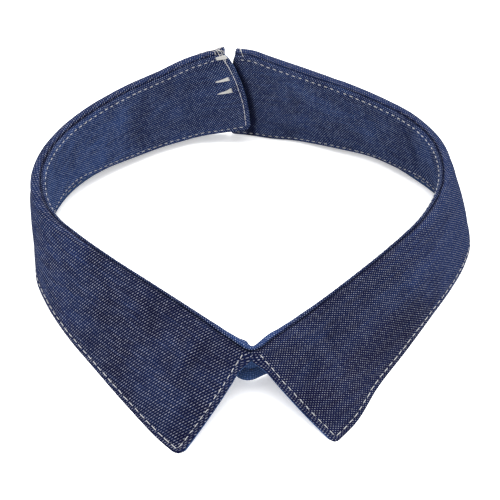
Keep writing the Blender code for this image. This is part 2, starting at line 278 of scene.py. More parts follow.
def path_distance(points):
    """How far along a path each of its points is."""
    return np.concatenate([[0.0], np.cumsum(np.linalg.norm(np.diff(points, axis=0), axis=1))])


def read_rows(rows, distance, where):
    """Rows read at any distances, on cubic curves through the given rows, sloped as their neighbours."""
    slope = np.gradient(rows, distance, axis=0)
    low = np.clip(np.searchsorted(distance, where, side="right") - 1, 0, len(distance) - 2)
    gap = (distance[low + 1] - distance[low])[:, None]
    t = (where - distance[low])[:, None] / gap
    return (
        (2 * t**3 - 3 * t**2 + 1) * rows[low]
        + (t**3 - 2 * t**2 + t) * slope[low] * gap
        + (3 * t**2 - 2 * t**3) * rows[low + 1]
        + (t**3 - t**2) * slope[low + 1] * gap
    )


def stations(length):
    """Places along a piece: the edge run at both ends and even steps between."""
    run = np.array(EDGE_RUN)
    steps = int(round((length - 2 * run[-1]) / STATION_STEP))
    middle = np.linspace(run[-1], length - run[-1], steps + 1)
    return np.concatenate([run[:-1], middle, length - run[-2::-1]])


def ring_heading(rows, where):
    """The ring's heading in plan at any distance, as an angle. It is evened out with the weights
    exp(-(distance / HEADING_REACH)^2), so that the sharp turn at the centre front, where the roll
    lies inside it, doesn't cross the cloth's lines."""
    distance = plan_distance(rows)
    fine = np.linspace(0, distance[-1], HEADING_POINTS)
    place = read_rows(rows[:, :2], distance, fine)
    step = np.gradient(place, axis=0)
    heading = np.unwrap(np.arctan2(step[:, 1], step[:, 0]))
    reach = int(2.5 * HEADING_REACH / fine[1])
    weight = bell(np.arange(-reach, reach + 1) * fine[1], HEADING_REACH)
    padded = np.pad(heading, reach, mode="reflect", reflect_type="odd")
    return np.interp(where, fine, np.convolve(padded, weight / weight.sum(), mode="valid"))


def ring_at(where):
    """The crease and the band, read at distances from the left back end round to the right one."""
    right = RIGHT_TABLE[:-1, :RING_COLUMNS][::-1].copy()
    # Measures towards the centre front run against the ring's direction on the right half.
    right[:, COLUMNS.index("foot_along")] *= -1
    rows = np.vstack([LEFT_TABLE[:, :RING_COLUMNS], right])
    values = read_rows(rows, plan_distance(rows), where)
    ring = {name: values[:, i] for i, name in enumerate(COLUMNS[:RING_COLUMNS])}
    ring["turn"] = np.radians(ring["turn"])
    ring["where"] = where
    ring["place"] = values[:, :2]
    heading = ring_heading(rows, where)
    ring["along"] = np.stack([np.cos(heading), np.sin(heading)], axis=1)
    ring["out"] = np.stack([ring["along"][:, 1], -ring["along"][:, 0]], axis=1)
    return ring


def half_at(table, is_left, where):
    """One half with its leaf's measures, read at distances from the centre back to the front."""
    half = ring_at(where if is_left else (ring_length() - where)[::-1])
    if not is_left:
        half = {name: value[::-1].copy() for name, value in half.items()}
        half["along"] *= -1
    values = read_rows(table[:, RING_COLUMNS:], plan_distance(table), where)
    half.update({name: values[:, i] for i, name in enumerate(COLUMNS[RING_COLUMNS:])})
    half["hem"] = np.maximum(half["hem"], 0.0)
    half["hem_place"] = values[:, :2]
    half["where"] = where
    return half


def turn_of_tangent(out, up, radius):
    """Turn of a straight line that touches the roll and ends at a point, seen from the roll's centre."""
    return np.arctan2(out, up) + np.arcsin(radius / np.hypot(out, up))


def roll_centre(sections):
    """Centre of the roll's arc: how far out from the crease, and its height."""
    out = ROLL_RADIUS * np.cos(sections["turn"])
    up = sections["crease"] - ROLL_RADIUS * np.sin(sections["turn"])
    return out[:, None], up[:, None]


def place_points(sections, out, along, height):
    """Points from measures taken outwards, along the ring and up, one row for each section."""
    plan = (
        sections["place"][:, None, :]
        + sections["out"][:, None, :] * out[..., None]
        + sections["along"][:, None, :] * along[..., None]
    )
    return np.concatenate([plan, height[..., None]], axis=2)


def roll_arc(sections, first, last, steps):
    """The roll's arc between two turns, C + R (-cos turn, sin turn): how far out, and how high."""
    centre_out, centre_up = roll_centre(sections)
    turn = first[:, None] + (last - first)[:, None] * np.linspace(0, 1, steps + 1)
    return centre_out - ROLL_RADIUS * np.cos(turn), centre_up + ROLL_RADIUS * np.sin(turn)


def shares_to_edge(length, inset, steps):
    """Shares of a length, 0 to 1: even steps, and then the edge run up to inset short of the end."""
    near = 1 - (np.array(EDGE_RUN)[::-1] + inset) / length[:, None]
    even = near[:, :1] * np.linspace(0, 1, steps + 1)[None, :-1]
    return np.hstack([even, near])


def leaf_face(half, inset, lap):
    """Outer face of a leaf: an arc over the roll, then a straight fall that bulges by half a sine.
    Below the roll its front edge leans towards the other leaf by lap."""
    centre_out, centre_up = roll_centre(half)
    reach = half["hem_place"] - half["place"]
    hem_out = (reach * half["out"]).sum(axis=1)
    hem_along = (reach * half["along"]).sum(axis=1)
    last = turn_of_tangent(hem_out - centre_out[:, 0], half["hem"] - centre_up[:, 0], ROLL_RADIUS)
    last = np.maximum(last, half["turn"] + 0.05)
    out, up = roll_arc(half, half["turn"], last, ROLL_STEPS)
    roll = place_points(half, out, np.zeros_like(out), up)
    length = (half["hem"] - up[:, -1]) / np.cos(last)
    share = shares_to_edge(length, inset, FALL_STEPS)
    bulge = np.sin(np.pi * share)
    fall_out = out[:, -1:] + (length * np.sin(last))[:, None] * share
    fall_up = up[:, -1:] + (length * np.cos(last))[:, None] * share
    fall_out -= half["bow"][:, None] * bulge * np.cos(last)[:, None]
    fall_up += half["bow"][:, None] * bulge * np.sin(last)[:, None]
    near_front = bell(half["where"][-1] - half["where"], 1.3)
    lapped = lap * near_front[:, None] * bell(length[:, None] * share - LAP_BELOW, LAP_LENGTH)
    along = hem_along[:, None] * share + half["swell"][:, None] * bulge + lapped
    fall = place_points(half, fall_out, along, fall_up)
    return np.concatenate([roll, fall[:, 1:]], axis=1)


def band_face(ring):
    """Neck face of the band: an arc down from the crease, then a straight line to the foot."""
    centre_out, centre_up = roll_centre(ring)
    foot_out, foot_up = ring["foot_out"] - centre_out[:, 0], ring["foot"] - centre_up[:, 0]
    last = turn_of_tangent(-foot_out, -foot_up, -ROLL_RADIUS)
    roll_out, roll_up = roll_arc(ring, ring["turn"], last, BAND_TURN_STEPS)
    length = (ring["foot"] - roll_up[:, -1]) / np.cos(last)
    share = shares_to_edge(np.abs(length), 0.0, BAND_STEPS)
    out = roll_out[:, -1:] + (length * np.sin(last))[:, None] * share
    up = roll_up[:, -1:] + (length * np.cos(last))[:, None] * share
    # Where the foot leads or trails the crease, a small share of that is in the roll, and the cloth
    # below leans most near the crease.
    turned, in_roll = np.linspace(0, 1, BAND_TURN_STEPS + 1), 0.15
    below = np.sin(np.abs(share) ** 0.85 * np.pi / 2)
    roll_lean = ring["foot_along"][:, None] * in_roll * turned**2
    lean = ring["foot_along"][:, None] * (in_roll + (1 - in_roll) * below)
    return place_points(
        ring,
        np.hstack([roll_out, out[:, 1:]]),
        np.hstack([roll_lean, lean[:, 1:]]),
        np.hstack([roll_up, up[:, 1:]]),
    )


def unit(vectors):
    """Vectors at length one."""
    return vectors / np.linalg.norm(vectors, axis=-1, keepdims=True)


def face_normals(points, side):
    """Normals of a grid of points, turned to the side that the sign of side gives. Where a tight turn
    has crossed the grid's lines, the mean of the rows around stands in."""
    normal = unit(np.cross(np.gradient(points, axis=0), np.gradient(points, axis=1))) * side
    padded = np.pad(normal, ((ROWS_AROUND, ROWS_AROUND), (0, 0), (0, 0)), mode="edge")
    around = unit(sum(padded[k:k + len(normal)] for k in range(2 * ROWS_AROUND + 1)))
    crossed = (normal * around).sum(axis=2) < 0.5
    return np.where(crossed[..., None], around, normal)


def run_length(points, axis):
    """Length along a grid's lines in one direction, from its first point."""
    step = np.linalg.norm(np.diff(points, axis=axis), axis=2)
    start = np.zeros_like(step[:1] if axis == 0 else step[:, :1])
    return np.concatenate([start, np.cumsum(step, axis=axis)], axis=axis)


def edge_sine(points, row_end):
    """Sine of the angle between the lines across and the edge that they end on, along that edge."""
    edge = unit(np.gradient(points[:, -1], axis=0) if row_end else np.gradient(points[-1], axis=0))
    line = unit(points[:, -1] - points[:, -3]) if row_end else unit(points[-1] - points[-3])
    return np.linalg.norm(np.cross(edge, line), axis=1)


def rounded(grid, to_end, to_hem, corner, radius):
    """A grid with one corner rounded. Inside the corner's square of side radius, a point that is a
    and b in from the square's inner sides moves to k a and k b, with k = max(a, b) / hypot(a, b), so
    the square's outer sides land on a quarter circle. corner is the row of the end: 0 or -1."""
    a, b = np.maximum(radius - to_end, 0), np.maximum(radius - to_hem, 0)
    shrink = np.maximum(a, b) / np.maximum(np.hypot(a, b), 1e-9) - 1
    inside = EDGE_STEPS if corner == 0 else -1 - EDGE_STEPS
    end_way = unit(grid[corner, -1] - grid[inside, -1])
    hem_way = unit(grid[corner, -1] - grid[corner, -1 - EDGE_STEPS])
    return grid + (a * shrink)[..., None] * end_way + (b * shrink)[..., None] * hem_way


class Cloth:
    """A grid of points on a cloth's face, with its normals and how far each is from the edges.

    start_round and end_round are the radii of its two corners at the hem. The distances are those
    before the corners are rounded, where the smaller of two is also how far the arc is.
    """

    def __init__(self, points, side, start_round, end_round):
        self.across = run_length(points, 1)
        self.along = run_length(points, 0)
        self.corners = ((0, start_round), (-1, end_round))
        to_hem = self.across[:, -1:] - self.across
        self.to_ends = (self.along, to_hem), (self.along[-1:] - self.along, to_hem)
        self.from_hem = to_hem * edge_sine(points, True)[:, None]
        self.from_start = self.along
        self.from_end = self.to_ends[1][0] * edge_sine(points, False)[None, :]
        self.square = points
        self.points = self.round_corners(points)
        self.normal = face_normals(self.points, side)

    def round_corners(self, grid):
        """The grid with both corners rounded, in space or on the flat pattern."""
        for (corner, radius), (to_end, to_hem) in zip(self.corners, self.to_ends):
            grid = rounded(grid, to_end, to_hem, corner, radius)
        return grid


def flat_pattern(cloth):
    """The cloth laid flat, in millimetres: crease steps and sections keep their lengths and angles.

    A section leaves the crease at the angle that it makes there with the crease's next step, and the
    crease's own heading is the running sum of how much that angle changes from step to step.
    """
    crease = cloth.square[:, 0]
    section = unit(cloth.square[:, -1] - crease)
    step = np.diff(crease, axis=0)
    size = np.linalg.norm(step, axis=1)
    lead = np.arccos(np.clip((unit(step) * section[:-1]).sum(axis=1), -1, 1))
    trail = np.arccos(np.clip((unit(step) * section[1:]).sum(axis=1), -1, 1))
    heading = np.concatenate([[0.0], np.cumsum(lead[1:] - trail[:-1])])
    step_way = np.stack([np.cos(heading), np.sin(heading)], axis=1)
    place = np.vstack([[0.0, 0.0], np.cumsum(size[:, None] * step_way, axis=0)])
    section_heading = np.concatenate([heading - lead, [heading[-1] - trail[-1]]])
    section_way = np.stack([np.cos(section_heading), np.sin(section_heading)], axis=1)
    return cloth.round_corners(place[:, None, :] + section_way[:, None, :] * cloth.across[..., None])


def turned_to_grain(flat, grain):
    """The flat pattern turned so that its crease runs along U between two shares of its length."""
    first, last = (flat[int(share * (len(flat) - 1)), 0] for share in grain)
    angle = math.atan2(last[1] - first[1], last[0] - first[0])
    turn = np.array([[math.cos(angle), -math.sin(angle)], [math.sin(angle), math.cos(angle)]])
    turned = flat @ turn
    return turned - turned.min(axis=(0, 1))


def flat_area(flat):
    """Area of the flat pattern: half the cross product of each cell's diagonals, added up."""
    long_way = flat[1:, 1:] - flat[:-1, :-1]
    short_way = flat[1:, :-1] - flat[:-1, 1:]
    return np.abs(long_way[..., 0] * short_way[..., 1] - long_way[..., 1] * short_way[..., 0]).sum() / 2


def rim_share(gap):
    """Share of the full thickness near an edge: a quarter circle of radius RIM."""
    return np.sqrt(np.maximum(1 - (1 - np.minimum(gap / RIM, 1)) ** 2, 0))


def add_object(name, data):
    """An object in the scene."""
    added = bpy.data.objects.new(name, data)
    bpy.context.scene.collection.objects.link(added)
    return added


def add_piece(name, points, faces, material, uv=None, marks=None):
    """A smooth mesh object from points in millimetres, with the cloth's flat places as its UV map and
    its named marks as attributes of its points."""
    data = bpy.data.meshes.new(name)
    data.from_pydata((points * MM).tolist(), [], faces)
    data.materials.append(material)
    data.shade_smooth()
    if uv is not None:
        corner = np.empty(len(data.loops), dtype=np.int32)
        data.loops.foreach_get("vertex_index", corner)
        data.uv_layers.new(name="weave").data.foreach_set("uv", (uv[corner] * MM).ravel())
    for mark, values in (marks or {}).items():
        data.attributes.new(mark, "FLOAT", "POINT").data.foreach_set("value", values)
    piece = add_object(name, data)
    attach(piece, "root")
    return piece


def grid_faces(index, flipped):
    """Quads of a grid of vertex numbers, with the winding that flipped asks for."""
    quads = np.stack([index[:-1, :-1], index[1:, :-1], index[1:, 1:], index[:-1, 1:]], axis=-1)
    quads = quads.reshape(-1, 4)
    return quads[:, ::-1] if flipped else quads


def cloth_shell(name, cloth, top, bottom, flat, shade, material):
    """A closed shell of cloth: the grid moved along its normals to a top and a bottom, which meet
    along all four edges, where both have the same offset."""
    top_points = cloth.points + cloth.normal * top[..., None]
    low_points = cloth.points + cloth.normal * bottom[..., None]
    for points in (top_points, low_points):
        np.maximum(points[..., 2], 0.0, out=points[..., 2])
    count = top.size
    index = np.arange(count).reshape(top.shape)
    inner = np.zeros(top.shape, dtype=bool)
    inner[1:-1, 1:-1] = True
    low_index = index.copy()
    low_index[inner] = count + np.arange(inner.sum())
    across = np.cross(cloth.points[1, 0] - cloth.points[0, 0], cloth.points[0, 1] - cloth.points[0, 0])
    facing = float(across @ cloth.normal[0, 0]) > 0
    faces = np.vstack([grid_faces(index, not facing), grid_faces(low_index, facing)])
    points = np.vstack([top_points.reshape(-1, 3), low_points[inner]])
    uv = np.vstack([flat.reshape(-1, 2), flat[inner]])
    nearest = np.minimum.reduce([cloth.from_hem, cloth.from_start, cloth.from_end])
    marks = {"wear_and_sheen": bell(nearest, 0.9), "shade": np.clip(shade, -1, 1)}
    marks = {mark: np.concatenate([value.ravel(), value[inner]]) for mark, value in marks.items()}
    return add_piece(name, points, faces.tolist(), material, uv, marks)


def read_grid(grid, row, column):
    """Values of a grid at fractional rows and columns, straight between the four around them."""
    i = np.clip(np.floor(row).astype(int), 0, grid.shape[0] - 2)
    j = np.clip(np.floor(column).astype(int), 0, grid.shape[1] - 2)
    a, b = (row - i)[..., None], (column - j)[..., None]
    return (
        grid[i, j] * (1 - a) * (1 - b)
        + grid[i + 1, j] * a * (1 - b)
        + grid[i, j + 1] * (1 - a) * b
        + grid[i + 1, j + 1] * a * b
    )


def place_of(falling, target):
    """Fractional column of each row where values that fall along the row reach the target."""
    column = np.clip((falling > target).sum(axis=1) - 1, 0, falling.shape[1] - 2)
    row = np.arange(len(falling))
    high, low = falling[row, column], falling[row, column + 1]
    return column + np.clip((high - target) / np.maximum(high - low, 1e-9), 0, 1)


def face_line(cloth, top, row, column):
    """A line on a cloth's face through fractional grid places: its points and normals."""
    face = cloth.points + cloth.normal * top[..., None]
    return read_grid(face, row, column), unit(read_grid(cloth.normal, row, column))


def sewing_line(cloth, top, falling, target, keep, runs_across):
    """The line on a cloth's face where a measure falls to a target: one point in each line along the
    cloth where the line runs across it, or else one in each section. keep is above 0 where it stays."""
    reached = place_of(falling.T if runs_across else falling, target)
    order = np.arange(len(reached), dtype=float)
    row, column = (reached, order) if runs_across else (order, reached)
    points, normals = face_line(cloth, top, row, column)
    kept = read_grid(keep[..., None], row, column)[:, 0] > 0
    return points[kept], normals[kept]


def tube_faces(sides, rings):
    """Faces of a tube of rings with a pole at each end: pole, rings, pole in that order."""
    around = np.arange(sides)
    after = (around + 1) % sides
    quads = np.vstack([
        np.stack([
            1 + k * sides + around, 1 + k * sides + after,
            1 + (k + 1) * sides + after, 1 + (k + 1) * sides + around,
        ], axis=1)
        for k in range(rings - 1)
    ])
    end = 1 + rings * sides
    start_fan = np.stack([np.zeros_like(around), 1 + after, 1 + around], axis=1)
    end_fan = np.stack([np.full_like(around, end), end - sides + around, end - sides + after], axis=1)
    return quads, np.vstack([start_fan, end_fan])


def tubes(paths, normals, radius, sides=6):
    """Many threads at once: circles of the given radius at each point of each path, closed to poles.

    paths and normals are arrays of tubes by points by 3, and radius one of tubes by points. The
    circle's point at angle a is path + radius (cos a normal + sin a (tangent x normal)).
    """
    tangent = unit(np.gradient(paths, axis=1))
    side = unit(np.cross(tangent, normals))
    up = np.cross(side, tangent)
    angle = np.linspace(0, 2 * np.pi, sides, endpoint=False)
    ring = (
        paths[:, :, None]
        + radius[..., None, None] * np.cos(angle)[:, None] * up[:, :, None]
        + radius[..., None, None] * np.sin(angle)[:, None] * side[:, :, None]
    )
    count, rings = paths.shape[:2]
    cap = radius[..., None] * tangent * 0.6
    start, end = paths[:, :1] - cap[:, :1], paths[:, -1:] + cap[:, -1:]
    points = np.concatenate([start, ring.reshape(count, -1, 3), end], axis=1)
    quads, fans = tube_faces(sides, rings)
    base = (np.arange(count) * points.shape[1])[:, None, None]
    faces = (quads[None] + base).reshape(-1, 4).tolist() + (fans[None] + base).reshape(-1, 3).tolist()
    return points.reshape(-1, 3), faces


def stitches(lines, seed):
    """Rows of stitches on lines of points and normals, each with its own pitch and stitch length. Each
    stitch lies along its line, proud by 0.55 of its radius in the middle, and dives by the fourth power
    of its half length at both ends."""
    rng = np.random.default_rng(seed)
    paths, ups = [], []
    share = np.linspace(-1, 1, 7)
    for points, normals, pitch, length in lines:
        run = path_distance(points)
        count = int(run[-1] / pitch)
        centre = (np.arange(count) + 0.5) * run[-1] / count + rng.normal(0, 0.07, count)
        size = length * (1 + np.clip(rng.normal(0, 0.10, count), -0.22, 0.16))
        where = centre[:, None] + size[:, None] / 2 * share
        path = np.stack([np.interp(where, run, points[:, k]) for k in range(3)], axis=-1)
        normal = unit(np.stack([np.interp(where, run, normals[:, k]) for k in range(3)], axis=-1))
        side = unit(np.cross(np.gradient(path, axis=1), normal))
        lift = THREAD_RADIUS * (0.55 - 2.2 * np.abs(share) ** 4)
        slant = rng.normal(0, 0.05, count)[:, None] * share + rng.normal(0, 0.04, count)[:, None]
        path = path + normal * lift[:, None] + side * slant[..., None]
        # A leaf's tip lies on the table, and so do the stitches under it.
        np.maximum(path[..., 2], THREAD_RADIUS, out=path[..., 2])
        paths.append(path)
        ups.append(normal)
    paths, ups = np.vstack(paths), np.vstack(ups)
    radius = np.broadcast_to(THREAD_RADIUS * (1 - 0.25 * share**4), paths.shape[:2])
    return tubes(paths, ups, radius)


class Value:
    """A number that a node gives. Arithmetic on it adds one math node for each step."""

    def __init__(self, socket):
        self.socket = socket

    def __rsub__(self, other):
        return math_node("SUBTRACT", other, self)


def arithmetic(operation):
    """A method of a value that adds one math node, with the value first."""
    return lambda value, other: math_node(operation, value, other)


Value.__add__ = arithmetic("ADD")
Value.__sub__ = arithmetic("SUBTRACT")
Value.__mul__ = arithmetic("MULTIPLY")
Value.__truediv__ = arithmetic("DIVIDE")
Value.__pow__ = arithmetic("POWER")


def link(socket, value):
    """Join a value to a socket: another node's output, or a number or colour set on the socket."""
    value = getattr(value, "socket", value)
    if isinstance(value, bpy.types.NodeSocket):
        socket.id_data.links.new(value, socket)
    else:
        socket.default_value = value


def new_node(beside, kind, settings=None, values=None):
    """A node in the tree of the node or socket beside it, with its settings and its inputs' values."""
    node = beside.id_data.nodes.new(kind)
    for name, setting in (settings or {}).items():
        setattr(node, name, setting)
    for name, value in (values or {}).items():
        link(node.inputs[name], value)
    return node


def math_node(operation, *values):
    """One step of arithmetic on up to three numbers, at least one of them a node's value."""
    beside = next(value.socket for value in values if isinstance(value, Value))
    step = new_node(beside, "ShaderNodeMath", {"operation": operation})
    for socket, value in zip(step.inputs, (*values, 0.0, 0.0)):
        link(socket, value)
    return Value(step.outputs[0])


def mix_color(share, first, second):
    """Two colours mixed."""
    values = {"Factor": share, 6: first, 7: second}
    return new_node(share.socket, "ShaderNodeMix", {"data_type": "RGBA"}, values).outputs[2]


def ramp(value, low, high):
    """0 below low, 1 above high and smooth between them."""
    values = {"Value": value, "From Min": low, "From Max": high}
    step = new_node(value.socket, "ShaderNodeMapRange", {"interpolation_type": "SMOOTHSTEP"}, values)
    return Value(step.outputs["Result"])


def noise(across, along, seed, detail=2.0):
    """Soft noise between about 0.3 and 0.7 at a place given by two values."""
    place = new_node(across.socket, "ShaderNodeCombineXYZ", values={0: across, 1: along, 2: seed})
    values = {"Scale": 1.0, "Detail": detail, "Vector": place.outputs[0]}
    return Value(new_node(place, "ShaderNodeTexNoise", values=values).outputs["Fac"])


def cloth_mark(beside, name):
    """The value of one of the cloth's marks."""
    return Value(new_node(beside, "ShaderNodeAttribute", {"attribute_name": name}).outputs["Fac"])


def new_material(name):
    """A material with nodes, and its shader."""
    material = bpy.data.materials.new(name)
    material.use_nodes = True
    return material, material.node_tree.nodes["Principled BSDF"]


def set_shader(shader, color, height, strength, distance, values):
    """Give a shader its colour, its bump and the rest of its inputs."""
    link(shader.inputs["Base Color"], color)
    bump_values = {"Strength": strength, "Distance": distance * MM, "Height": height}
    bump = new_node(shader, "ShaderNodeBump", values=bump_values)
    link(shader.inputs["Normal"], bump.outputs["Normal"])
    for name, value in values.items():
        shader.inputs[name].default_value = value


def chambray(name, weave, deep, pale_tone, weft, dots, sheen, bloom):
    """Plain weave of navy warp and pale weft, at the cloth's own yarn size.

    U and V of the map "weave" are metres on the flat cloth. Counted in yarns of the weave's two
    pitches, each whole cell is one crossing. The weft is on top in every other cell, where it shows as
    a small pale oval, a little slanted. Yarns are uneven: each has its own shade and thick and thin
    stretches. The dye has soft paler patches, and the mark "shade" paints folds paler or darker, as
    painted highlight, sheen and shade.
    """
    material, shader = new_material(name)
    place = new_node(shader, "ShaderNodeUVMap", {"uv_map": "weave"})
    parts = new_node(place, "ShaderNodeSeparateXYZ", values={0: place.outputs[0]})
    u, v = (Value(parts.outputs[k]) / (weave["pitch"][k] * MM) for k in (0, 1))
    slow_u, slow_v = u * 0.06, v * 0.06
    u = u + noise(slow_u, slow_v, 1.0) * 0.7
    v = v + noise(slow_u, slow_v, 5.0) * 0.7
    weft_yarn, warp_yarn = math_node("FLOOR", u), math_node("FLOOR", v)
    a, b = math_node("FRACT", u) - 0.5, math_node("FRACT", v) - 0.5
    weft_up = math_node("FRACT", (weft_yarn + warp_yarn) * 0.5) * 2.0
    # Thick and thin stretches of each weft yarn widen and narrow its ovals.
    weft_far = weft_yarn * 7.31
    slub = noise(weft_far, v * 0.09, 11.0)
    half_wide, half_long = weave["oval"]
    width = math_node("MULTIPLY_ADD", slub, 1.1 * half_wide, 0.42 * half_wide)
    aside = math_node("ABSOLUTE", math_node("MULTIPLY_ADD", b, -weave["slant"], a))
    oval = (aside / width) ** 2.0 + (math_node("ABSOLUTE", b) / half_long) ** 2.0
    shown = (1.0 - ramp(oval, 0.3, 1.2)) * weft_up
    # Each yarn has its own shade, and the dye is paler in patches.
    fleck = noise(weft_far, warp_yarn * 3.77, 17.0, 0.0)
    strength = math_node("MULTIPLY_ADD", ramp(fleck, 0.3, 0.7), 0.65, 0.35) * dots
    warp_far = warp_yarn * 5.17
    streak = noise(u * 0.045, warp_far, 23.0)
    patch = noise(u * 0.028, v * 0.05, 31.0, 3.0)
    paler = ramp(streak, 0.35, 0.75) * 0.45 + ramp(patch, 0.42, 0.72) * 0.45
    # Rubbing along the free edges makes them paler.
    rub = cloth_mark(shader, "wear_and_sheen") * ramp(fleck, 0.35, 0.65)
    paler = math_node("MAXIMUM", paler, rub * 0.6)
    # Above zero the mark "shade" makes the cloth paler, mostly as painted highlight and sheen; below zero it
    # is painted shade, which darkens the ground towards near black and dims the weft's ovals.
    shade = cloth_mark(shader, "shade")
    grain = math_node("MULTIPLY_ADD", ramp(streak, 0.3, 0.7), 0.8, 0.6)
    shade_paler = math_node("MAXIMUM", shade, 0.0) * grain
    dark = math_node("MAXIMUM", shade * -1.0, 0.0)
    paler = math_node("MULTIPLY_ADD", shade_paler, 1.1, paler * 0.75)
    left_over = 1.0 - dark * 0.85
    ground = mix_color(paler * left_over, deep, pale_tone)
    ground = mix_color(dark * 0.7, ground, (0.003, 0.004, 0.012, 1.0))
    strength = strength * left_over
    # Every crossing is a small pillow, with painted shade between its yarns, and the weft's lie a little
    # lower.
    pillow = math_node("COSINE", a * math.pi) * math_node("COSINE", b * math.pi)
    hollow = math_node("MULTIPLY_ADD", pillow, -0.7, 0.6)
    ground = mix_color(math_node("MAXIMUM", hollow, 0.0), ground, (0.001, 0.001, 0.003, 1.0))
    color = mix_color(shown * strength, ground, weft)
    set_shader(shader, color, pillow - weft_up * 0.35, 0.55, 0.12, {
        "Roughness": 0.78, "Specular IOR Level": 0.0,
        "Sheen Weight": sheen, "Sheen Roughness": 0.45, "Sheen Tint": bloom,
    })
    return material


def thread(name, color, roughness):
    """Sewing thread: nearly one colour, with fine uneven fibres as bump."""
    material, shader = new_material(name)
    place = new_node(shader, "ShaderNodeTexCoord")
    values = {"Scale": 6000.0, "Vector": place.outputs["Object"]}
    fibre = Value(new_node(shader, "ShaderNodeTexNoise", values=values).outputs["Fac"])
    dim = tuple(0.72 * part for part in color[:3]) + (1.0,)
    mixed = mix_color(ramp(fibre, 0.3, 0.7), dim, color)
    set_shader(shader, mixed, fibre, 0.4, 0.05, {"Roughness": roughness, "Sheen Weight": 0.2})
    return material


def edge_relief(cloth, hem_inset, end_inset, seed):
    """How far a sewn edge lifts the face: a soft swell over the turned allowance, a groove that the
    stitches pull in, and small uneven puckers between the stitches and the edge."""
    hem, end = cloth.from_hem, cloth.from_end
    swell = ALLOWANCE_SWELL * (1 - smoothstep(*ALLOWANCE, np.minimum(hem, end)))
    past_end, past_hem = smoothstep(-0.3, 0.3, end - end_inset), smoothstep(-0.3, 0.3, hem - hem_inset)
    groove = bell(hem - hem_inset, GROOVE_WIDTH) * past_end
    groove = np.maximum(groove, bell(end - end_inset, GROOVE_WIDTH) * past_hem)
    phase = 2 * np.pi * cloth.along[:, -1:] / TOPSTITCH + 0.9 * uneven(cloth.along[:, -1:] / 7, seed)
    strength = 0.65 + 0.35 * uneven(cloth.along[:, -1:] / 13, seed + 3)
    pucker = np.sin(phase + hem * 0.7) * strength * bell(hem, PUCKER_REACH)
    end_phase = 2 * np.pi * cloth.across[-1:] / TOPSTITCH + 0.9 * uneven(cloth.across[-1:] / 7, seed + 5)
    end_pucker = np.sin(end_phase + end * 0.7) * 0.7 * bell(end, PUCKER_REACH)
    return swell - GROOVE_DEPTH * groove + PUCKER * (pucker + end_pucker)


def fold_relief(cloth, folds, seed):
    """Soft troughs and ridges in the cloth, and how pale or dark they are painted: paler on ridges,
    partly rubbed and partly painted highlight, and darker in troughs, as painted shade. Each is a bell
    across its line and along its length: exp(-(down / (length / 2))^2 - (aside / (width / 2))^2), with a
    wandering middle line. Slow low waves lie under them."""
    u, v = cloth.along[:, :1], cloth.across
    relief = 0.10 * uneven(u / 11 + v / 23, seed) + 0.06 * uneven(u / 5.3 - v / 9, seed + 7)
    shade = 0.12 * uneven(u / 7 + v / 12, seed + 2) + 0.10 * uneven(u / 3.1 - v / 15, seed + 5)
    for along, across, turn, length, width, height, pale in folds:
        angle = math.radians(turn)
        down = (u - along) * math.cos(angle) + (v - across) * math.sin(angle)
        aside = (v - across) * math.cos(angle) - (u - along) * math.sin(angle)
        aside = aside + 0.16 * width * uneven(down / 3, seed + across)
        form = np.exp(-((down / (length / 2)) ** 2) - (aside / (width / 2)) ** 2)
        relief = relief + height * form
        shade = shade + pale * form * (0.8 + 0.2 * uneven(down / 1.7 + aside, seed + along))
    fade = smoothstep(0.2, 4.0, v) * smoothstep(0, 3.0, np.minimum(cloth.from_hem, cloth.from_end))
    return relief * fade, shade


def painted_side_sheen(cloth, most):
    """Painted sheen: the leaves' sides and backs are painted paler than their fronts."""
    return most * (1 - smoothstep(95, 160, cloth.along[:, :1]))


def away_from_back(cloth, both_ends):
    """0 at a back end and 1 well round the side: the seam is pressed flatter at the back."""
    along = cloth.along[:, :1]
    return smoothstep(20, 85, np.minimum(along, along[-1] - along) if both_ends else along)


def seam_shade(cloth, both_ends):
    """Painted shade in the folded seam at the crease, on a line that comes and goes a little."""
    strength = 0.45 + 0.7 * away_from_back(cloth, both_ends)
    return strength * (1 + 0.3 * uneven(cloth.along[:, :1] / 1.1, 2.0)) * bell(cloth.across, 0.6)


def lap_shade(cloth):
    """A painted shadow: the dark line on the band's right end beside the edge of the left end, which lies
    over it. The camera looks down past that nearer edge, so it is read a little above each point."""
    edge, rise = cloth.points[0, ::-1], 2.0
    edge_x = np.interp(cloth.points[..., 2] + rise, edge[:, 2], edge[:, 0])
    at_right_end = smoothstep(-24, -20, cloth.along - cloth.along[-1:])
    line = bell(cloth.points[..., 0] - edge_x - 0.6, 1.3)
    return 2.0 * at_right_end * line * smoothstep(1.0, 3.0, cloth.across)


def ply_faces(cloth, relief, depth):
    """Offsets of a ply's two faces: its middle is half a ply below the depth, and both faces close
    on the middle in a quarter circle at the edges and at the seam. The seam pulls every ply in."""
    nearest = np.minimum.reduce([cloth.from_hem, cloth.from_start, cloth.from_end, cloth.across])
    half = PLY / 2 * rim_share(nearest)
    pull = SEAM_PULL * bell(cloth.across, 0.8)
    middle = relief * smoothstep(0, 0.6, nearest) - pull - depth - PLY / 2
    top, bottom = middle + half, middle - half
    for edge in (np.s_[0, :], np.s_[-1, :], np.s_[:, 0], np.s_[:, -1]):
        top[edge] = bottom[edge] = middle[edge]
    return top, bottom


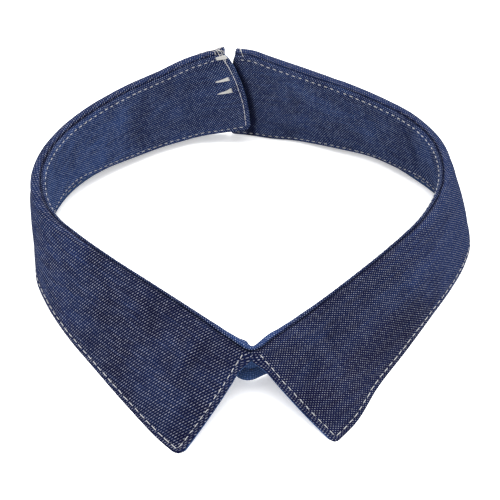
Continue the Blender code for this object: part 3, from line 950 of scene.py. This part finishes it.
class Ply:
    """One ply of cloth: its shell, the offsets of its two faces, and its flat pattern. A second ply lies
    behind the first, and its back is the face that shows."""

    def __init__(self, name, cloth, is_second, relief, shade, grain, finish):
        self.cloth = cloth
        self.top, self.bottom = ply_faces(cloth, relief, (PLY + PLY_GAP) if is_second else 0.0)
        self.shown, self.sign = (self.bottom, -1.0) if is_second else (self.top, 1.0)
        self.flat = turned_to_grain(flat_pattern(cloth), grain)
        shell = (name + "_cloth_shell", cloth, self.top, self.bottom, self.flat, shade, finish)
        self.piece = cloth_shell(*shell)
        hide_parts(name)

    def sewing_rows(self, rows):
        """Lines for stitches on the face that shows, from rows of a measure, the value that it has
        there, where the line is kept, whether it runs across the cloth, and pitch and length."""
        lines = []
        for falling, target, keep, runs_across, pitch, length in rows:
            points, normals = sewing_line(self.cloth, self.shown, falling, target, keep, runs_across)
            lines.append((points, normals * self.sign, pitch, length))
        return lines

    def declare(self, rests_on, with_pieces):
        """Works out the ply's flat size and area, and does nothing more with them."""
        size = (self.flat.max(axis=(0, 1)) - self.flat.min(axis=(0, 1))) * MM
        float(flat_area(self.flat)) * MM**2


def make_leaf(side, table, folds, seed, tip_round, wear_and_sheen, cloths):
    """The two plies of a leaf and the stitches on both of its faces."""
    is_left = side == "left"
    half = half_at(table, is_left, stations(plan_distance(table)[-1] - CENTRE_GAP))
    plies, lines = [], []
    for layer, inset in (("upper", 0.0), ("under", UNDER_INSET)):
        # The stitches keep the straight line of an edge that doesn't lap.
        cloth, straight = (
            Cloth(leaf_face(half, inset, lap), -1.0 if is_left else 1.0, LEAF_BACK_ROUND, tip_round)
            for lap in (FRONT_LAP, 0.0)
        )
        cloth.from_end = straight.from_end
        relief = edge_relief(cloth, HEM_STITCH_INSET - inset, FRONT_STITCH_INSET, seed)
        # The folds' relief and their painted light and shade, and the sides' painted sheen
        lift, shade = fold_relief(cloth, folds, seed)
        relief, shade = relief + lift, 0.5 * shade + painted_side_sheen(cloth, wear_and_sheen)
        if layer == "under":
            # The under ply lies against the upper one and follows its forms a little less, and its painted
            # light and shade are reversed and halved.
            relief, shade = np.minimum(relief * 0.85, relief), -0.5 * shade
        shade = shade - seam_shade(cloth, False)
        finish = cloths[side if layer == "upper" else "under"]
        name = side + "_leaf_" + layer
        ply = Ply(name, cloth, layer == "under", relief, shade, (0.55, 1.0), finish)
        in_ends = np.minimum(cloth.from_end - FRONT_STITCH_INSET, cloth.from_start - BACK_END_STITCH)
        in_leaf = np.minimum(cloth.from_hem - HEM_STITCH_INSET, cloth.across - 0.8)
        lines += ply.sewing_rows((
            (cloth.from_hem, HEM_STITCH_INSET, in_ends, False, HEM_PITCH, HEM_STITCH_LENGTH),
            (cloth.from_end, FRONT_STITCH_INSET, in_leaf, True, FRONT_PITCH, FRONT_STITCH_LENGTH),
            (-cloth.from_start, -BACK_END_STITCH, in_leaf, True, TOPSTITCH, STITCH_LENGTH),
        ))
        plies.append(ply)
    sewing = add_piece(side + "_leaf_topstitching", *stitches(lines, seed), cloths["thread"])
    upper, under = plies
    upper.declare(under.piece.name, [sewing])
    under.declare("band_outer_cloth_shell", [])
    return upper


def front_strip(cloth):
    """The band's top at the centre front, which stands out of the crease and is paler, with a hump
    on its left and a flat dip in the middle: how far it stands out, and how pale it is."""
    u, v = cloth.along[:, :1] - FRONT_ALONG, cloth.across
    near = bell(u, 18)
    humps = 0.36 + 0.12 * uneven(u / 1.9, 4.0) + 0.75 * bell(u + 5.2, 2.0)
    lift = near * (humps - 0.4 * bell(u + 1.2, 3.0)) * bell(v - 2.1, 1.3) * smoothstep(0.1, 0.9, v)
    return lift, 1.1 * near * bell(v - 1.7, 1.7)


def front_lip(cloth):
    """The band's lower lip at the centre front, as offsets to the neck: its foot flares outwards on
    both sides of the middle, and the outer ply rolls below a groove."""
    u = cloth.along[:, :1] - FRONT_ALONG
    low = np.clip(1 - cloth.from_hem / 6.0, 0, 1) ** 1.5
    flare = 1.9 * bell(u + 4.2, 3.2) + 1.2 * bell(u - 5.0, 3.2)
    groove = 0.3 * bell(cloth.from_hem - FRONT_GROOVE, GROOVE_WIDTH)
    roll = 0.5 * np.sin(np.pi * np.clip(cloth.from_hem / FRONT_GROOVE, 0, 1))
    return -flare * low, bell(u, 14) * (groove - roll)


def make_band(cloths, seed):
    """The two plies of the band, and the stitches of each along its crease, foot and ends."""
    ring = ring_at(stations(ring_length()))
    plies, lines = [], []
    for layer in ("inner", "outer"):
        cloth = Cloth(band_face(ring), 1.0, BAND_CORNER_ROUND, BAND_CORNER_ROUND)
        relief = edge_relief(cloth, BAND_FOOT_STITCH, BACK_END_STITCH, seed)
        front = bell(cloth.along[:, :1] - FRONT_ALONG, 25)
        below_roll = cloth.across - 1.4 * front
        lift, shade = fold_relief(cloth, BAND_FOLDS, seed)
        relief = relief - GROOVE_DEPTH * bell(below_roll - BAND_TOP_STITCH, GROOVE_WIDTH) + lift
        shade = 0.65 * shade
        hem = cloth.from_hem
        flare, lip = front_lip(cloth)
        if layer == "outer":
            relief = np.minimum(relief * 0.6, relief) + lip
            hem = hem - (FRONT_GROOVE - BAND_FOOT_STITCH) * front
            # Here the folds' painted light and shade are reversed and weaker, and painted shade darkens the
            # groove along the foot's stitches.
            shade = -0.4 * shade - 0.9 * bell(hem - BAND_FOOT_STITCH, 0.45)
        else:
            strip, pale = front_strip(cloth)
            relief, shade = relief + strip, shade + pale - lap_shade(cloth)
        relief, shade = relief + flare, shade - seam_shade(cloth, True)
        ply = Ply("band_" + layer, cloth, layer == "outer", relief, shade, (0.3, 0.7), cloths[layer])
        in_ends = np.minimum(cloth.from_end, cloth.from_start) - BACK_END_STITCH
        in_band = np.minimum(hem - BAND_FOOT_STITCH, below_roll - BAND_TOP_STITCH)
        rows = [
            (-below_roll, -BAND_TOP_STITCH, in_ends, False, TOPSTITCH, STITCH_LENGTH),
            (hem, BAND_FOOT_STITCH, in_ends, False, TOPSTITCH, STITCH_LENGTH),
        ]
        if layer == "outer":
            # The right end has a line on this side only: on the neck side the left end lies over it.
            rows.append((cloth.from_end, BACK_END_STITCH, in_band, True, TOPSTITCH, STITCH_LENGTH))
        rows.append((-cloth.from_start, -BACK_END_STITCH, in_band, True, TOPSTITCH, BACK_END_LENGTH))
        lines.append(ply.sewing_rows(rows))
        plies.append(ply)
    sewing = add_piece("band_topstitching", *stitches(lines[0], seed), cloths["thread"])
    bobbin = add_piece("band_bobbin_stitching", *stitches(lines[1], seed + 1), cloths["navy_thread"])
    return plies, [[sewing], [bobbin]]


def back_place(end, from_end, below):
    """Points and normals on a back end's faces: how far in from its edge, and how far below the crease
    on the band, or above it on the leaf where below is less than zero. end is the band's neck ply, the
    leaf's upper ply, and whether it is the ring's far end."""
    band, leaf, is_far = end
    places = []
    for ply, depth, mirror in ((band, below, is_far), (leaf, -below, False)):
        cloth = ply.cloth
        along = cloth.along[-1, 0] - from_end if mirror else from_end
        row = np.interp(along, cloth.along[:, 0], np.arange(len(cloth.along), dtype=float))
        run = cloth.across[-END_SECTION if mirror else END_SECTION]
        column = np.interp(np.maximum(depth, 0), run, np.arange(len(run), dtype=float))
        places.append(face_line(cloth, ply.top, row, column))
    on_band = (below >= 0)[:, None]
    return tuple(np.where(on_band, first, second) for first, second in zip(*places))


def laid_thread(end, marks, count=12):
    """A thread laid on a back end by its marks (from the edge, below the crease, lift), on one smooth
    curve through them."""
    marks = np.array(marks, dtype=float)
    run = path_distance(marks)
    path = read_rows(marks, run, np.linspace(0, run[-1], count))
    points, normals = back_place(end, path[:, 0], path[:, 1])
    return points + normals * path[:, 2:], normals


def thread_bars(end, rng):
    """The threads of the three white bars, each a smooth curve through three marks."""
    bars = []
    for far, near, far_below, near_below, far_width, near_width, neck, risen in THREAD_BARS:
        middle = far + (near - far) * (0.5 + neck / 2)
        middle_below = far_below + (near_below - far_below) * risen
        middle_width = far_width + (near_width - far_width) * risen
        for k in range(BAR_THREADS):
            share = k / (BAR_THREADS - 1) - 0.5
            first = far + rng.normal(0, 0.15) + (near - far) * neck * (0.5 - share) * 0.8
            last = near + rng.normal(0, 0.14)
            lift = 0.07 + 0.07 * (k % 2)
            bars.append(laid_thread(end, (
                (first, far_below + share * far_width, lift * 0.4),
                (middle, middle_below + share * middle_width, lift + 0.05),
                (last, near_below + share * near_width, lift * 0.5),
            )))
    return bars


def loose_thread(left_end, right_end):
    """One thread that hangs in an arc from the left end to the right one: its points and normals."""
    start, start_up = laid_thread(left_end, ((2.2, -0.6, 0.2), (1.4, -0.2, 0.25), (0.5, 0.3, 0.3)), 5)
    stop, stop_up = laid_thread(right_end, ((0.3, -1.0, 0.25), (1.0, -1.6, 0.2), (1.8, -2.4, 0.1)), 5)
    gap = np.linspace(0, 1, 9)[1:-1, None]
    across = start[-1] + (stop[0] - start[-1]) * gap - np.array([0, 0, 0.9]) * np.sin(np.pi * gap)
    across_up = start_up[-1] + (stop_up[0] - start_up[-1]) * gap
    return np.vstack([start, across, stop]), np.vstack([start_up, across_up, stop_up])


def make_back_threads(band, left, right, cloths):
    """The three white thread bars, the frayed threads and the one loose blue thread at the back."""
    rng = np.random.default_rng(THREAD_SEED)
    left_end, right_end = (band, left, False), (band, right, True)
    bars = thread_bars(left_end, rng)
    frays = [laid_thread(left_end, marks) for marks in FRAYED_THREADS]
    frays += [laid_thread(right_end, marks) for marks in RIGHT_END_THREADS]
    for _ in range(TUFT_THREADS):
        start = rng.uniform(0.3, 3.2)
        frays.append(laid_thread(left_end, (
            (start, -2.6 + rng.normal(0, 0.3), 0.05), (start - 0.3, -3.2, 0.15),
            (start - 0.6 + rng.normal(0, 0.4), -3.6, 0.35 + rng.uniform(0, 0.5)),
        )))
    loose = [loose_thread(left_end, right_end)]
    made = []
    for name, paths, radius, material in (
        ("back_thread_bars", bars, BAR_RADIUS, "white_thread"),
        ("back_frayed_threads", frays, FRAY_RADIUS, "white_thread"),
        ("back_loose_thread", loose, BAR_RADIUS, "blue_thread"),
    ):
        points, normals = (np.stack([path[k] for path in paths]) for k in (0, 1))
        threads = tubes(points, normals, np.full(points.shape[:2], radius))
        made.append(add_piece(name, *threads, cloths[material]))
    return made


def make_camera():
    """The photograph's camera."""
    data = bpy.data.cameras.new("photograph_camera")
    data.lens = CAMERA_LENS
    data.sensor_width = 36.0
    data.clip_start = 0.01
    camera = add_object("photograph_camera", data)
    x, y, z = CAMERA_TARGET
    y -= CAMERA_DISTANCE * math.cos(CAMERA_PITCH)
    z += CAMERA_DISTANCE * math.sin(CAMERA_PITCH)
    camera.location = (x * MM, y * MM, z * MM)
    camera.rotation_euler = (math.pi / 2 - CAMERA_PITCH, 0.0, 0.0)
    bpy.context.scene.camera = camera


def soft_light(name, place, size, power):
    """A square soft light that faces the collar."""
    data = bpy.data.lights.new(name, "AREA")
    data.size = size
    data.energy = power
    light = add_object(name, data)
    light.location = place
    towards = np.array([0.0, 0.0, 0.01]) - np.array(place)
    yaw = math.atan2(towards[0], -towards[1])
    light.rotation_euler = (math.acos(-towards[2] / np.linalg.norm(towards)), 0.0, yaw)


def make_studio():
    """A pale lit table, soft lights and a pale surround, shown without a film curve as the photo is."""
    bpy.context.scene.view_settings.view_transform = "Standard"
    data = bpy.data.meshes.new("floor")
    reach = 3.0
    corners = [(-reach, -reach, 0), (reach, -reach, 0), (reach, reach, 0), (-reach, reach, 0)]
    data.from_pydata(corners, [], [(0, 1, 2, 3)])
    paper, shader = new_material("floor_paper")
    for name, value in (
        ("Base Color", (0.95, 0.95, 0.95, 1.0)), ("Roughness", 0.9),
        ("Emission Color", (1.0, 1.0, 1.0, 1.0)), ("Emission Strength", 0.4),
    ):
        shader.inputs[name].default_value = value
    data.materials.append(paper)
    add_object("floor", data)
    soft_light("overhead", (0.0, 0.1, 0.9), 0.9, 12.0)
    soft_light("front", (-0.25, -0.8, 0.6), 0.6, 7.5)
    soft_light("right", (0.8, -0.1, 0.5), 0.5, 4.0)
    world = bpy.data.worlds.new("studio")
    world.use_nodes = True
    sky = world.node_tree.nodes["Background"]
    sky.inputs["Color"].default_value = (1.0, 1.0, 1.0, 1.0)
    sky.inputs["Strength"].default_value = 1.25
    bpy.context.scene.world = world


def make_cloths():
    """The finishes: the leaves' cloth in two weaves, the stand's, the paler reverse, and the threads."""
    soft = dict(sheen=0.01, bloom=(0.45, 0.62, 1.0, 1.0), dots=1.0)
    face = dict(
        deep=(0.0040, 0.0050, 0.025, 1.0), pale_tone=(0.0125, 0.024, 0.082, 1.0), weft=(0.24, 0.25, 0.30, 1.0)
    )
    left = chambray("chambray_left_leaf", LEFT_WEAVE, **face, **soft)
    right = chambray("chambray_right_leaf", RIGHT_WEAVE, **face, **soft)
    stand = chambray(
        "chambray_stand", BAND_WEAVE, deep=(0.0042, 0.0078, 0.042, 1.0), pale_tone=(0.0175, 0.040, 0.135, 1.0),
        weft=(0.28, 0.33, 0.45, 1.0), **soft,
    )
    under = chambray(
        "chambray_under", BAND_WEAVE, deep=(0.042, 0.082, 0.21, 1.0), pale_tone=(0.070, 0.135, 0.31, 1.0),
        weft=(0.22, 0.27, 0.40, 1.0), dots=0.4, sheen=0.02, bloom=(0.5, 0.7, 1.0, 1.0),
    )
    return {
        "left": left, "right": right, "under": under, "inner": stand, "outer": under,
        "thread": thread("topstitch_thread", (0.44, 0.44, 0.45, 1.0), 0.6),
        "navy_thread": thread("bobbin_thread", (0.014, 0.022, 0.06, 1.0), 0.7),
        "white_thread": thread("bar_thread", (0.50, 0.49, 0.47, 1.0), 0.7),
        "blue_thread": thread("loose_warp_thread", (0.035, 0.05, 0.12, 1.0), 0.7),
    }


cloths = make_cloths()
band, band_threads = make_band(cloths, BAND_SEED)
left = make_leaf("left", LEFT_TABLE, LEFT_FOLDS, LEFT_SEED, LEFT_TIP_ROUND, LEFT_SIDE_SHEEN, cloths)
right = make_leaf("right", RIGHT_TABLE, RIGHT_FOLDS, RIGHT_SEED, RIGHT_TIP_ROUND, RIGHT_SIDE_SHEEN, cloths)
band_threads[0] += make_back_threads(band[0], left, right, cloths)
for ply, threads in zip(band, band_threads):
    ply.declare("left_leaf_under_cloth_shell", threads)
make_studio()
make_camera()
bpy.context.view_layer.update()
